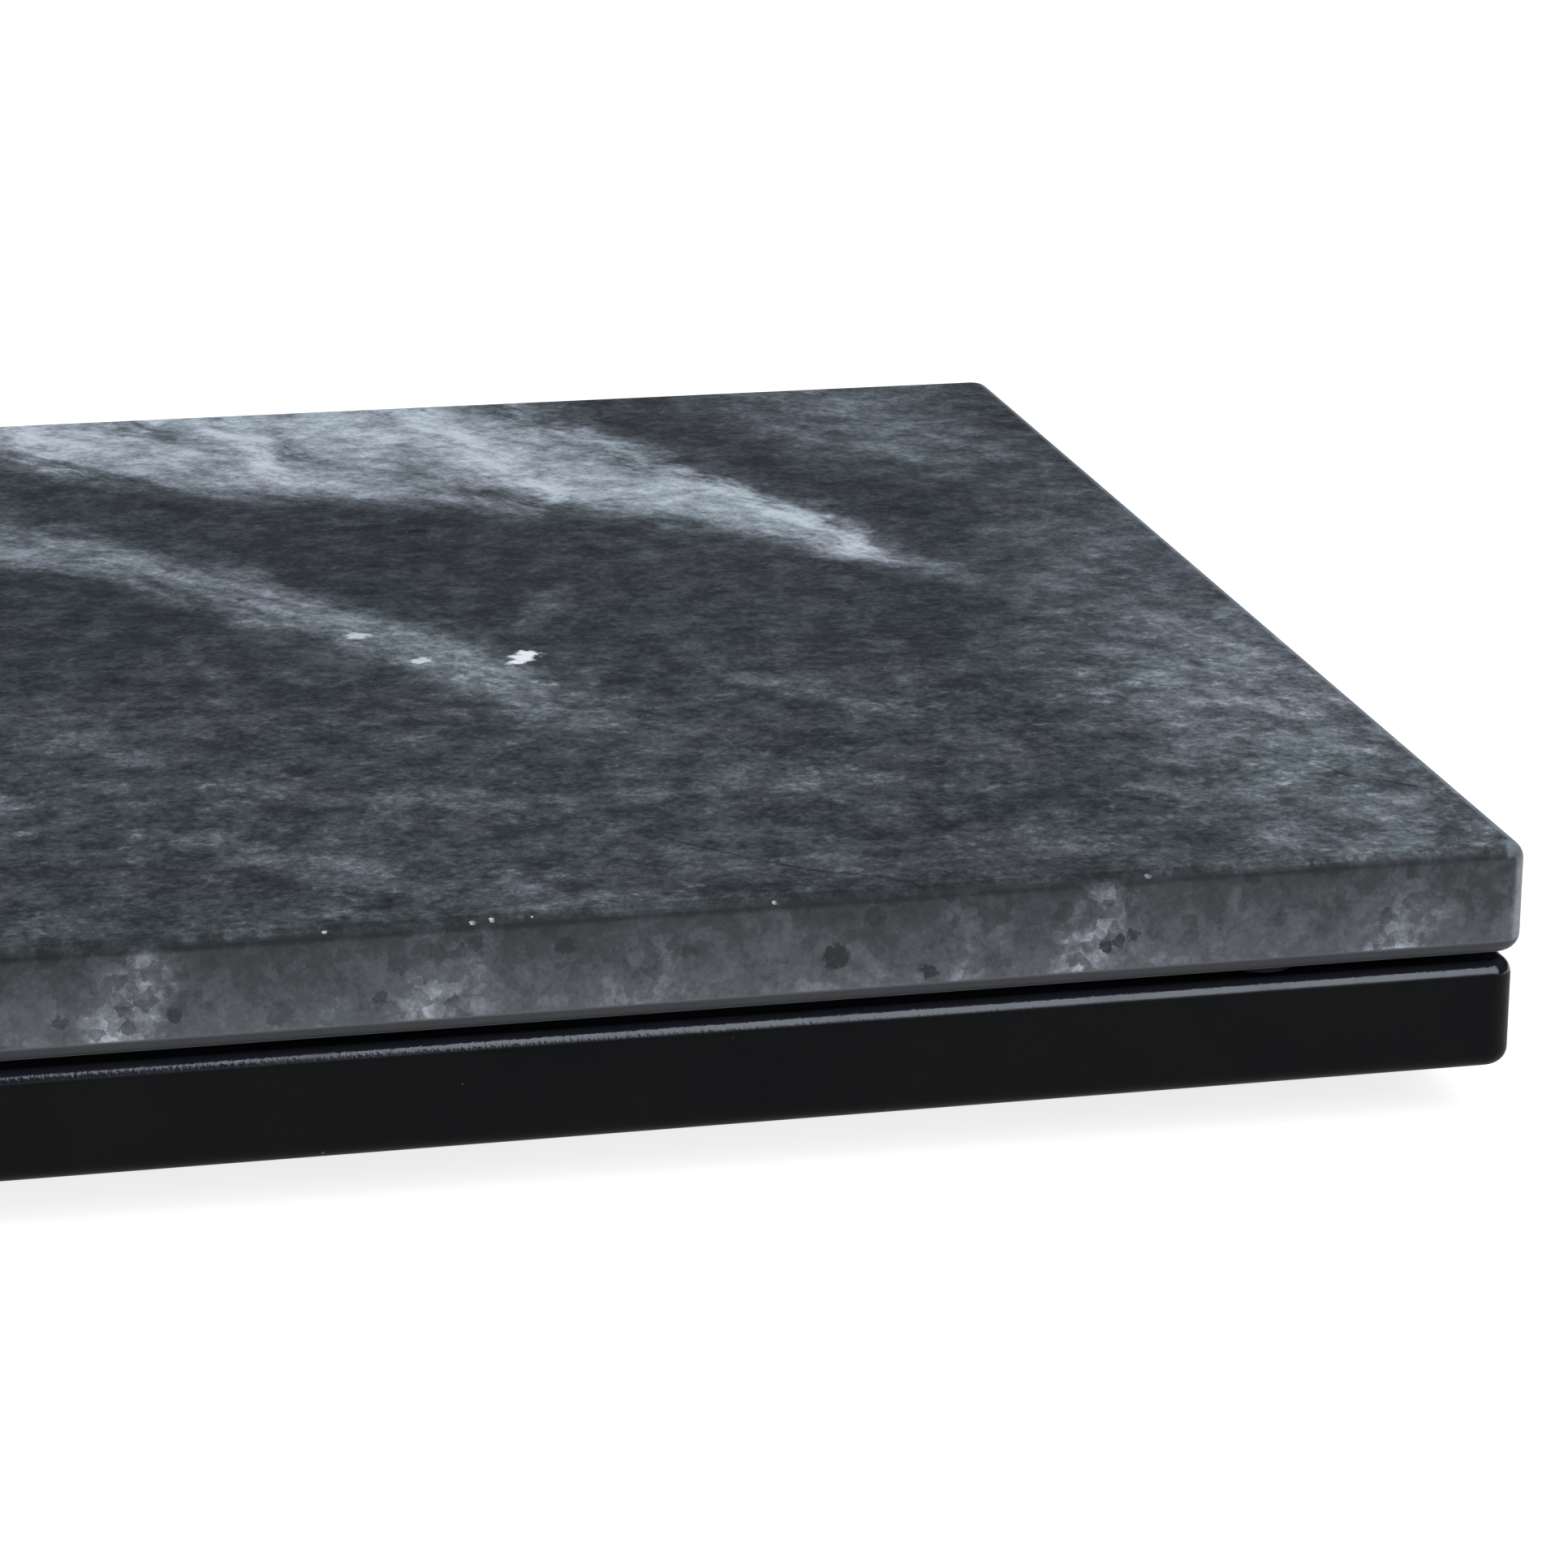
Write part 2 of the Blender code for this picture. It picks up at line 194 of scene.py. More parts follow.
# --- Node helpers ---
class Tree:
    """Builds a material's nodes. Each call returns the socket that it makes."""

    def __init__(self, name):
        self.material = bpy.data.materials.new(name)
        self.material.use_nodes = True
        self.nodes = self.material.node_tree.nodes
        self.links = self.material.node_tree.links
        self.shader = self.nodes["Principled BSDF"]

    def shade(self, colour, rough, normal=None, level=None):
        """Feeds the shader and hands back the finished material."""
        self.feed(self.shader.inputs["Base Color"], colour)
        self.feed(self.shader.inputs["Roughness"], rough)
        self.feed(self.shader.inputs["Normal"], normal)
        self.feed(self.shader.inputs["Specular IOR Level"], level)
        return self.material

    def feed(self, socket, value):
        if isinstance(value, bpy.types.NodeSocket):
            self.links.new(value, socket)
        elif value is not None:
            socket.default_value = value

    def place(self):
        return self.nodes.new("ShaderNodeTexCoord").outputs["Object"]

    def normal(self):
        return self.nodes.new("ShaderNodeNewGeometry").outputs["Normal"]

    def math(self, operation, first, second=None, third=None):
        node = self.nodes.new("ShaderNodeMath")
        node.operation = operation
        for socket, value in zip(node.inputs, (first, second, third)):
            self.feed(socket, value)
        return node.outputs[0]

    def times(self, first, second):
        return self.math("MULTIPLY", first, second)

    def vector(self, operation, first, second=None, scale=None):
        node = self.nodes.new("ShaderNodeVectorMath")
        node.operation = operation
        self.feed(node.inputs[0], first)
        self.feed(node.inputs[1], second)
        if scale is not None:
            self.feed(node.inputs["Scale"], scale)
        return node.outputs["Value" if operation == "DISTANCE" else 0]

    def split(self, vector):
        node = self.nodes.new("ShaderNodeSeparateXYZ")
        self.feed(node.inputs[0], vector)
        return node.outputs

    def noise(self, vector, size, detail=2.0, roughness=0.5, distortion=0.0, colour=False):
        """Fractal noise whose largest blotches are about size metres across."""
        node = self.nodes.new("ShaderNodeTexNoise")
        self.feed(node.inputs["Vector"], vector)
        node.inputs["Scale"].default_value = 1 / size
        node.inputs["Detail"].default_value = detail
        node.inputs["Roughness"].default_value = roughness
        node.inputs["Distortion"].default_value = distortion
        return node.outputs["Color" if colour else "Fac"]

    def voronoi(self, vector, size, output="Distance"):
        node = self.nodes.new("ShaderNodeTexVoronoi")
        self.feed(node.inputs["Vector"], vector)
        node.inputs["Scale"].default_value = 1 / size
        return node.outputs[output]

    def span(self, value, low, high, to_low=0.0, to_high=1.0, smooth=True):
        """Carries low..high over to to_low..to_high and holds it there outside."""
        node = self.nodes.new("ShaderNodeMapRange")
        node.interpolation_type = "SMOOTHSTEP" if smooth else "LINEAR"
        node.clamp = not smooth
        for socket, number in zip(node.inputs, (value, low, high, to_low, to_high)):
            self.feed(socket, number)
        return node.outputs[0]

    def ramp(self, value, stops):
        node = self.nodes.new("ShaderNodeValToRGB")
        self.feed(node.inputs[0], value)
        elements = node.color_ramp.elements
        elements[0].position, elements[0].color = stops[0]
        elements[1].position, elements[1].color = stops[-1]
        for position, colour in stops[1:-1]:
            elements.new(position).color = colour
        return node.outputs[0]

    def between(self, share, first, second):
        return self.math("MULTIPLY_ADD", share, self.math("SUBTRACT", second, first), first)

    def mix(self, share, first, second, blend="MIX"):
        node = self.nodes.new("ShaderNodeMix")
        node.data_type = "RGBA"
        node.blend_type = blend
        self.feed(node.inputs[0], share)
        self.feed(node.inputs[6], first)
        self.feed(node.inputs[7], second)
        return node.outputs[2]

    def bump(self, height, distance, strength):
        node = self.nodes.new("ShaderNodeBump")
        node.inputs["Strength"].default_value = strength
        node.inputs["Distance"].default_value = distance
        self.feed(node.inputs["Height"], height)
        return node.outputs[0]


# --- Stone: where its veins, spots and cracks lie, in millimetres from the slab's middle ---
MM = 0.001
# A vein strays at most this far from the straight line between its ends, and is no wider.
VEIN_REACH = 100

# Each vein is a row of (x, y, half-width, strength) points.
PALE_VEINS = (
    ((256, -22, 3, 0), (241, 8, 12, 0.36), (224, 42, 21, 0.50), (206, 74, 32, 0.58),
     (184, 104, 45, 0.60), (164, 132, 60, 0.61), (142, 168, 75, 0.61), (120, 208, 86, 0.62),
     (102, 248, 94, 0.62)),
    ((206, 52, 8, 0), (166, 80, 19, 0.36), (132, 104, 30, 0.48), (104, 128, 38, 0.57),
     (80, 154, 46, 0.60), (60, 184, 52, 0.62), (44, 218, 56, 0.62), (30, 254, 58, 0.62)),
    ((162, 78, 8, 0), (142, 108, 24, 0.46), (122, 138, 32, 0.52), (106, 170, 36, 0.54),
     (94, 206, 38, 0.56), (82, 246, 40, 0.56)),
    ((-62, 176, 24, 0.40), (-4, 122, 29, 0.40), (44, 76, 30, 0.40), (84, 30, 28, 0.41),
     (112, -14, 25, 0.41), (135, -55, 22, 0.36), (152, -92, 17, 0.28), (168, -132, 9, 0)),
    ((-330, 92, 34, 0.46), (-236, 10, 31, 0.44), (-150, -72, 24, 0.40), (-96, -128, 17, 0.30),
     (-56, -184, 9, 0)),
    ((-262, 236, 46, 0.56), (-186, 150, 34, 0.52), (-128, 82, 22, 0.45), (-92, 28, 14, 0.32),
     (-66, -24, 7, 0)),
)
BRIGHT_STREAKS = (
    ((244, 2, 2, 0), (236, 18, 5, 0.20), (223, 54, 8, 0.24), (208, 98, 8, 0.24),
     (196, 140, 8, 0.20), (182, 168, 8, 0.14), (170, 196, 9, 0.12), (158, 230, 9, 0.12)),
    ((114, 104, 4, 0), (110, 126, 7, 0.24), (104, 158, 8, 0.26), (100, 188, 8, 0.18),
     (92, 214, 8, 0.10)),
    ((76, 112, 5, 0), (62, 136, 10, 0.22), (50, 160, 11, 0.28), (50, 192, 10, 0.20),
     (48, 220, 8, 0.16)),
    ((182, 70, 4, 0), (174, 90, 9, 0.20), (160, 132, 10, 0.20), (152, 184, 10, 0.16),
     (148, 214, 8, 0.10)),
    ((84, 206, 6, 0.20), (80, 176, 6, 0.14), (86, 146, 4, 0)),
    ((-112, 60, 3, 0), (-134, 92, 7, 0.22), (-172, 142, 9, 0.24), (-224, 200, 10, 0.20)),
    ((-140, -84, 4, 0), (-166, -58, 8, 0.16), (-224, -8, 9, 0.18), (-300, 52, 9, 0.14)),
)
FAINT_VEINS = (
    ((292, 90, 30, 0), (284, 50, 36, 0.22), (278, -4, 44, 0.28), (280, -80, 52, 0.34),
     (278, -150, 50, 0.28), (276, -196, 44, 0.20)),
    ((244, 250, 66, 0.34), (254, 196, 66, 0.36), (264, 140, 58, 0.34), (282, 84, 36, 0.16)),
    ((250, -4, 8, 0), (262, -22, 12, 0.20), (278, -48, 17, 0.26), (283, -78, 18, 0.26),
     (274, -114, 14, 0.20), (274, -136, 9, 0.18), (284, -160, 7, 0.18), (296, -182, 6, 0.14)),
    ((20, -124, 9, 0), (44, -118, 10, 0.16), (70, -117, 8, 0.18), (97, -129, 7, 0.16),
     (130, -137, 8, 0.20), (163, -139, 9, 0.20), (193, -141, 7, 0.16), (226, -149, 5, 0)),
    ((170, -54, 8, 0), (184, -67, 10, 0.14), (200, -83, 11, 0.18), (217, -106, 9, 0.16),
     (230, -146, 6, 0)),
    ((60, -142, 7, 0), (74, -154, 9, 0.20), (97, -168, 11, 0.26), (116, -190, 9, 0.10)),
    ((36, -52, 12, 0), (48, -72, 16, 0.16), (62, -94, 15, 0.16), (74, -116, 10, 0)),
    ((228, -140, 6, 0), (242, -154, 9, 0.22), (258, -169, 8, 0.18), (268, -180, 5, 0)),
    ((214, -172, 8, 0), (226, -184, 12, 0.20), (240, -196, 10, 0.16)),
    ((112, -180, 9, 0), (126, -190, 12, 0.18), (150, -198, 10, 0.12)),
    ((284, 198, 9, 0.22), (287, 180, 10, 0.24), (276, 156, 9, 0.16), (262, 138, 6, 0)),
    ((297, 82, 8, 0.10), (294, 48, 9, 0.34), (296, 18, 8, 0.14)),
    ((160, 12, 6, 0), (154, -4, 8, 0.18), (148, -22, 7, 0.20), (142, -40, 6, 0)),
    ((-20, -156, 9, 0), (4, -142, 12, 0.20), (24, -128, 10, 0.18), (42, -116, 6, 0)),
    ((-256, -128, 8, 0), (-224, -142, 11, 0.22), (-176, -147, 9, 0.20), (-114, -160, 7, 0)),
    ((-6, 52, 9, 0), (-22, 28, 14, 0.18), (-34, -4, 11, 0.16), (-34, -24, 6, 0)),
    ((-278, 140, 12, 0), (-266, 104, 13, 0.18), (-246, 78, 8, 0.12), (-230, 60, 5, 0)),
)
CRACKS = (
    ((148, -152, 0.6, 0), (158, -166, 0.7, 0.8), (171, -182, 0.7, 0.8), (186, -199, 0.6, 0.8)),
    ((270, -132, 0.6, 0), (279, -148, 0.8, 0.9), (288, -163, 0.7, 0.9), (295, -177, 0.5, 0)),
    ((198, -80, 0.5, 0), (208, -93, 0.7, 0.8), (219, -110, 0.5, 0)),
    ((-206, -34, 0.5, 0), (-186, -66, 0.7, 0.8), (-162, -84, 0.7, 0.8), (-148, -116, 0.5, 0)),
    ((-66, 60, 0.5, 0), (-48, 34, 0.7, 0.7), (-44, 0, 0.5, 0)),
)
# Spots are (x, y, height from the top, radius, strength).
WHITE_SPOTS = (
    (145.6, -41, 0, 3.0, 1.0), (144.2, -44, 0, 3.3, 1.0), (142.4, -47, 0, 2.6, 1.0),
    (113, -20, 0, 3.2, 0.6), (124, -42, 0, 2.8, 0.65), (-131, 64, 0, 3.4, 0.8),
    (-195, 111, 0, 2.2, 0.6),
)
DARK_GRAINS = (
    (135, 66, 0, 2.8, 0.8), (145, 19, 0, 2.4, 0.6), (58, 2, 0, 2.4, 0.7), (-87, -23, 0, 2.4, 0.6),
    (176.5, -200, -11.2, 2.6, 1.0), (192.4, -200, -15.0, 1.7, 0.9), (223.5, -200, -12.8, 1.5, 1.0),
    (225.8, -200, -12.0, 1.3, 0.9), (228.4, -200, -11.2, 1.3, 0.9), (183, -200, -4.5, 2.2, 0.7),
    (216, -200, -6.2, 2.2, 0.5), (249.5, -200, -2.5, 1.6, 0.8), (261, -200, -1.6, 1.8, 0.7),
    (264, -200, -1.8, 1.6, 0.7), (186.5, -200, -1.8, 1.6, 0.7), (196, -200, -1.6, 1.6, 0.7),
    (172, -200, -1.6, 1.6, 0.5), (115, -200, -4.2, 1.8, 0.6), (130.4, -200, -6.0, 2.0, 0.7),
    (99.2, -200, -12.8, 1.6, 0.7), (82.4, -200, -14.2, 2.6, 0.5), (151, -200, -8.2, 1.6, 0.7),
    (65.2, -200, -13.2, 1.7, 0.8), (47, -200, -13.2, 1.4, 0.7), (45.6, -200, -1.8, 2.2, 0.6),
    (-35.6, -200, -10, 2.4, 0.9), (-91, -200, -14.4, 1.8, 0.8), (-163, -200, -7, 2.0, 0.7),
    (-220, -200, -11, 1.8, 0.9), (-268, -200, -8, 2.2, 0.8),
)
# Pale clouds in the slab's edge: (distance from the front left corner, half-width, strength at the
# top, strength at the foot), in millimetres round the corner and back.
EDGE_CLOUDS = (
    (36, 9, 0.16, 0.34), (176, 9, 0.26, 0.34), (236, 10, 0.06, 0.28), (291, 7, 0.12, 0.22),
    (356, 8, 0.28, 0.34), (411, 10, 0.08, 0.36), (444, 6, 0.04, 0.16), (491, 8, 0.10, 0.22),
    (522, 9, 0.30, 0.34), (576, 12, 0.06, 0.30),
)

# Colours from the darkest ground to the whitest vein, by half the tone.
STONE_TONES = (
    (0.00, srgb(34, 37, 39)),
    (0.10, srgb(52, 56, 60)),
    (0.20, srgb(76, 81, 86)),
    (0.30, srgb(108, 115, 122)),
    (0.40, srgb(148, 157, 166)),
    (0.52, srgb(192, 203, 211)),
    (0.75, srgb(222, 230, 236)),
)


def vein_mask(tree, place, points, core):
    """One vein. A ramp along the line between its ends holds its offset, width and strength."""
    start, end = Vector(points[0][:2]), Vector(points[-1][:2])
    chord = end - start
    along = chord.normalized()
    across = Vector((-along.y, along.x))
    whole = 2 * VEIN_REACH
    stops = []
    for x, y, width, strength in points:
        away = Vector((x, y)) - start
        station = away.dot(along) / chord.length
        stops.append((station, (0.5 + away.dot(across) / whole, width / whole, strength, 1)))
    origin = (start - across * VEIN_REACH) * MM
    node = tree.nodes.new("ShaderNodeMapping")
    node.vector_type = "TEXTURE"
    tree.feed(node.inputs["Vector"], place)
    node.inputs["Location"].default_value = (origin.x, origin.y, 0)
    node.inputs["Rotation"].default_value = (0, 0, math.atan2(chord.y, chord.x))
    node.inputs["Scale"].default_value = (chord.length * MM, whole * MM, 1)
    share, side, _ = tree.split(node.outputs[0])
    line = tree.nodes.new("ShaderNodeSeparateColor")
    tree.feed(line.inputs[0], tree.ramp(share, stops))
    offset, width, strength = line.outputs[0], line.outputs[1], line.outputs[2]
    distance = tree.math("ABSOLUTE", tree.math("SUBTRACT", side, offset))
    return tree.span(tree.math("DIVIDE", distance, width), core, 1.0, strength, 0.0)


def strongest(tree, masks):
    total = masks[0]
    for mask in masks[1:]:
        total = tree.math("MAXIMUM", total, mask)
    return total


def vein_masks(tree, place, veins, core):
    return strongest(tree, [vein_mask(tree, place, points, core) for points in veins])


def spot_masks(tree, place, top, spots, core):
    masks = []
    for x, y, height, radius, strength in spots:
        centre = (x * MM, y * MM, top + height * MM)
        distance = tree.vector("DISTANCE", place, centre)
        masks.append(tree.span(distance, radius * MM * core, radius * MM, strength, 0.0))
    return strongest(tree, masks)


def edge_clouds(tree, place, foot):
    """Pale clouds along the slab's edge. The ramp runs along the front and folds back at a corner."""
    low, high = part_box("stone_slab")
    length, depth = high.x - low.x, high.y - low.y
    x, y, _ = tree.split(place)
    round_edge = tree.math("MULTIPLY_ADD", y, length / depth, length)
    round_edge = tree.math("PINGPONG", tree.math("ADD", x, round_edge), length)
    stops = [(0.0, (0, 0, 0, 1))]
    for middle, width, at_top, at_foot in EDGE_CLOUDS:
        for shift, share in ((-width, 0), (0, 1), (width, 0)):
            stops.append(((middle + shift) * MM / length, (at_top * share, at_foot * share, 0, 1)))
    stops = [stop for stop in stops if 0 <= stop[0] < 1]
    clouds = tree.nodes.new("ShaderNodeSeparateColor")
    tree.feed(clouds.inputs[0], tree.ramp(tree.math("DIVIDE", round_edge, length), stops))
    return tree.between(foot, clouds.outputs[0], clouds.outputs[1])


def warped(tree, place, size, push, detail=1.0):
    """The same places pushed about by noise, so that what is drawn on them gets ragged edges."""
    noise = tree.noise(place, size, detail, 0.6, colour=True)
    noise = tree.vector("SUBTRACT", noise, (0.5, 0.5, 0.5))
    return tree.vector("ADD", place, tree.vector("SCALE", noise, scale=push))


def turned_and_stretched(tree, place, angle, shares):
    node = tree.nodes.new("ShaderNodeMapping")
    node.vector_type = "TEXTURE"
    tree.feed(node.inputs["Vector"], place)
    node.inputs["Rotation"].default_value = (0, 0, math.radians(angle))
    node.inputs["Scale"].default_value = shares
    return node.outputs[0]


def swing(tree, noise, gain, base):
    """Noise of 0 to 1 as a swing to both sides of a base value."""
    return tree.math("MULTIPLY_ADD", tree.math("SUBTRACT", noise, 0.5), gain, base)


def stone_material():
    low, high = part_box("stone_slab")
    tree = Tree("veined_stone")
    place = tree.place()
    normal_x, normal_y, normal_z = tree.split(tree.normal())
    height = tree.split(place)[2]
    upward = tree.span(normal_z, 0.35, 0.85)
    downward = tree.span(normal_z, -0.80, -0.97)
    foot_arris = tree.span(normal_z, -0.04, -0.16)
    forward = tree.span(normal_y, -0.15, -0.40)
    front_arris = tree.times(tree.span(normal_z, 0.15, 0.45), forward)

    bent = warped(tree, place, 0.050, 0.022, 2)
    ragged = warped(tree, bent, 0.009, 0.010, 3)
    streaks = tree.noise(turned_and_stretched(tree, bent, -58, (4.0, 1, 1)), 0.011, 5, 0.78)
    mottle = tree.noise(place, 0.011, 5, 0.92)
    flecks = tree.span(tree.noise(place, 0.0050, 3, 0.75), 0.56, 0.68)
    clouds = tree.noise(place, 0.110, 3, 0.6)

    pale = vein_masks(tree, ragged, PALE_VEINS, 0.10)
    bright = vein_masks(tree, ragged, BRIGHT_STREAKS, 0.0)
    faint = vein_masks(tree, ragged, FAINT_VEINS, 0.0)

    # Tone from 0, the darkest ground, to 1, the whitest vein.
    # The ground is a little paler and more flecked towards the front.
    near = tree.span(tree.split(place)[1], 0.05, -0.15)
    tone = swing(tree, mottle, tree.span(near, 0.0, 1.0, 1.2, 1.5), 0.20)
    tone = swing(tree, clouds, 0.26, tone)
    tone = tree.math("MULTIPLY_ADD", near, 0.06, tone)
    tone = tree.math("MULTIPLY_ADD", flecks, tree.span(near, 0.0, 1.0, 0.07, 0.16), tone)
    # Streaks along the veins feather their borders.
    feather = tree.span(swing(tree, streaks, 1.3, pale), 0.0, 0.50, 0.28, 1.08)
    feathered = tree.times(pale, feather)
    tone = tree.math("MULTIPLY_ADD", feathered, swing(tree, streaks, 1.0, 1.0), tone)
    tone = tree.math("MULTIPLY_ADD", bright, tree.span(streaks, 0.36, 0.66, 0.35, 1.45), tone)
    tone = tree.math("MULTIPLY_ADD", faint, swing(tree, streaks, 2.6, 0.9), tone)

    jagged = warped(tree, place, 0.0018, 0.0022, 3)
    grit = tree.noise(place, 0.0011, 2, 0.7)
    coarse = tree.split(tree.voronoi(jagged, 0.0048, output="Color"))[0]
    fine = tree.split(tree.voronoi(jagged, 0.0020, output="Color"))[1]
    tone = swing(tree, coarse, 0.060, tone)
    tone = swing(tree, fine, 0.060, tone)

    # The edge is painted paler towards its foot, a painted reflection of the pale floor, and its lower
    # arris is even, with painted shade that darkens it as it turns underneath.
    foot = tree.span(height, high.z - 0.001, low.z + ARRIS_RADIUS, 0.0, 1.0, smooth=False)
    edge_grain = tree.noise(place, 0.0050, 5, 0.80)
    patches = tree.noise(bent, 0.020, 2, 0.5)
    # Painted reflection of the floor: paler towards the foot.
    edge_tone = tree.math("MULTIPLY_ADD", foot, 0.27, 0.11)
    edge_tone = swing(tree, edge_grain, 0.50, edge_tone)
    edge_tone = swing(tree, coarse, 0.10, edge_tone)
    edge_tone = swing(tree, fine, 0.09, edge_tone)
    edge_tone = swing(tree, patches, 0.22, edge_tone)
    edge_tone = swing(tree, grit, 0.22, edge_tone)
    edge_gain = swing(tree, fine, 0.9, swing(tree, edge_grain, 2.2, 0.80))
    edge_tone = tree.math("MULTIPLY_ADD", edge_clouds(tree, ragged, foot), edge_gain, edge_tone)
    # Painted shade: the lower arris darkens as it faces further down.
    edge_tone = tree.between(foot_arris, edge_tone, tree.span(normal_z, -0.04, -0.31, 0.47, 0.09))
    tone = tree.between(upward, edge_tone, tone)
    # Painted shade: the front arris is painted darker.
    tone = tree.math("MULTIPLY_ADD", front_arris, -0.13, tone)
    # The arrises at the ends and the back, and the upright corners, are painted pale: a painted
    # highlight along them.
    sideways = tree.math("ABSOLUTE", normal_x)
    upper = tree.times(tree.span(tree.math("MAXIMUM", sideways, normal_y), 0.03, 0.20),
                      tree.span(normal_z, 0.20, 0.50))
    upright = tree.times(edge_mask(tree, 0.80, 0.97), tree.span(sideways, 0.25, 0.50))
    upright = tree.times(upright, tree.span(normal_z, -0.30, 0.0))
    painted_sheen = tree.times(tree.math("MAXIMUM", upper, upright), 0.75)
    # Painted highlight: the tone is pulled pale along these arrises.
    tone = tree.between(painted_sheen, tone, swing(tree, edge_grain, 0.6, 0.66))
    colour = tree.ramp(tree.times(tone, 0.5), STONE_TONES)

    # Slow drifts of hue, from green grey to violet grey.
    hue = tree.noise(place, 0.045, 3, 0.6)
    tint = tree.ramp(hue, ((0.36, (0.93, 0.99, 0.96, 1)), (0.50, (0.96, 0.98, 0.97, 1)),
                           (0.64, (1.00, 0.96, 0.99, 1))))
    colour = tree.mix(tree.span(tone, 0.4, 0.9, 1.0, 0.35), colour, tint, "MULTIPLY")
    # The front is a little warmer, and the edge a little redder than the top.
    colour = tree.mix(near, colour, (1.0, 1.0, 0.98, 1), "MULTIPLY")
    beside = tree.span(normal_z, 0.85, 0.35)
    colour = tree.mix(beside, colour, (1.04, 0.975, 1.0, 1), "MULTIPLY")

    torn = warped(tree, place, 0.0015, 0.0034, 3)
    frayed = warped(tree, place, 0.0024, 0.0058, 3)
    white = tree.times(spot_masks(tree, frayed, high.z, WHITE_SPOTS, 0.45), upward)
    colour = tree.mix(white, colour, srgb(240, 245, 248))
    dark = spot_masks(tree, torn, high.z, DARK_GRAINS, 0.70)

    # Small dark grains scattered all through the stone.
    cell = tree.voronoi(torn, 0.015)
    chance = tree.noise(place, 0.020, 1, 0.5)
    scattered = tree.times(tree.span(cell, 0.11, 0.05), tree.span(chance, 0.50, 0.60))
    dark = tree.math("MAXIMUM", dark, tree.times(scattered, 0.55))
    dark = tree.times(dark, tree.span(grit, 0.30, 0.44, 0.55, 1.0))
    dark = tree.times(dark, tree.span(foot_arris, 1.0, 0.0))
    colour = tree.mix(tree.times(dark, 0.92), colour, srgb(27, 29, 32))

    crack_place = tree.vector("ADD", jagged, tree.vector("SUBTRACT", bent, place))
    cracks = vein_masks(tree, crack_place, CRACKS, 0.2)
    cracks = tree.times(cracks, upward)
    colour = tree.mix(tree.times(cracks, 0.7), colour, srgb(24, 26, 29))

    # The underside is as the saw left it: pale, matt and scored across.
    scores = tree.nodes.new("ShaderNodeTexWave")
    tree.feed(scores.inputs["Vector"], place)
    scores.inputs["Scale"].default_value = 120
    scores.inputs["Distortion"].default_value = 1.6
    scores.inputs["Detail"].default_value = 2
    scores = scores.outputs["Fac"]
    sawn = tree.mix(tree.times(scores, 0.25), srgb(112, 116, 120), srgb(86, 90, 94))
    colour = tree.mix(tree.times(downward, 0.8), colour, sawn)

    rough = tree.span(mottle, 0.35, 0.65, 0.40, 0.54)
    rough = tree.math("MULTIPLY_ADD", dark, -0.10, rough)
    rough = tree.math("MULTIPLY_ADD", downward, 0.40, rough)

    relief = tree.math("ADD", tree.noise(place, 0.0016, 2, 0.6), tree.times(scores, 3.0))
    relief = tree.between(downward, tree.noise(place, 0.0016, 2, 0.6), relief)
    level = tree.between(front_arris, 0.20, 0.06)
    return tree.shade(colour, rough, tree.bump(relief, 0.00005, 0.6), level)


def fresh_stone_material():
    """Broken stone inside a chip: paler and rougher than the polished skin."""
    tree = Tree("fresh_stone")
    place = tree.place()
    grain = tree.noise(place, 0.0012, 4, 0.7)
    colour = tree.ramp(grain, ((0.35, srgb(84, 90, 96)), (0.68, srgb(196, 202, 206))))
    return tree.shade(colour, tree.span(grain, 0.3, 0.7, 0.55, 0.8), tree.bump(grain, 0.0002, 0.8))


def edge_mask(tree, low, high):
    """1 where the surface faces between the model's axes, as it does on a rounded edge."""
    absolute = tree.vector("ABSOLUTE", tree.normal())
    x, y, z = tree.split(absolute)
    straight = tree.math("MAXIMUM", tree.math("MAXIMUM", x, y), z)
    return tree.span(straight, high, low)


def powder_coat_material():
    """Satin black coat with an orange-peel skin, glossier along its upper edges, with a painted blue
    grey highlight there.
    """
    tree = Tree("black_powder_coat")
    place = tree.place()
    peel = tree.noise(place, 0.0008, 1, 0.5)
    grain = tree.noise(place, 0.00030, 1, 0.5)
    cloud = tree.noise(place, 0.035, 4, 0.65)
    upward = tree.span(tree.split(tree.normal())[2], 0.10, 0.28)
    # Patches where the upper edges are glossier and carry the painted highlight.
    painted_sheen = tree.span(tree.noise(place, 0.012, 5, 0.7), 0.30, 0.60, 0.78, 1.0)
    shine = tree.times(tree.times(edge_mask(tree, 0.90, 0.985), upward), painted_sheen)
    coat = tree.ramp(cloud, ((0.3, (0.0018, 0.0018, 0.0018, 1)), (0.7, (0.0036, 0.0035, 0.0034, 1))))
    # Painted highlight: the glossy upper edges are painted a lighter blue grey.
    coat = tree.mix(tree.times(shine, 0.5), coat, (0.012, 0.014, 0.022, 1))
    dust = tree.times(tree.span(tree.voronoi(place, 0.0060), 0.060, 0.035),
                     tree.span(tree.noise(place, 0.030, 1), 0.56, 0.66))
    coat = tree.mix(tree.times(dust, 0.25), coat, srgb(150, 140, 122))
    rough = tree.between(shine, tree.span(cloud, 0.3, 0.7, 0.42, 0.52), 0.12)
    tree.shader.inputs["Specular Tint"].default_value = (0.84, 0.90, 1.0, 1)
    relief = tree.math("MULTIPLY_ADD", grain, 0.30, peel)
    level = tree.span(shine, 0.0, 1.0, 0.07, 0.50)
    return tree.shade(coat, rough, tree.bump(relief, 0.00005, 0.8), level)


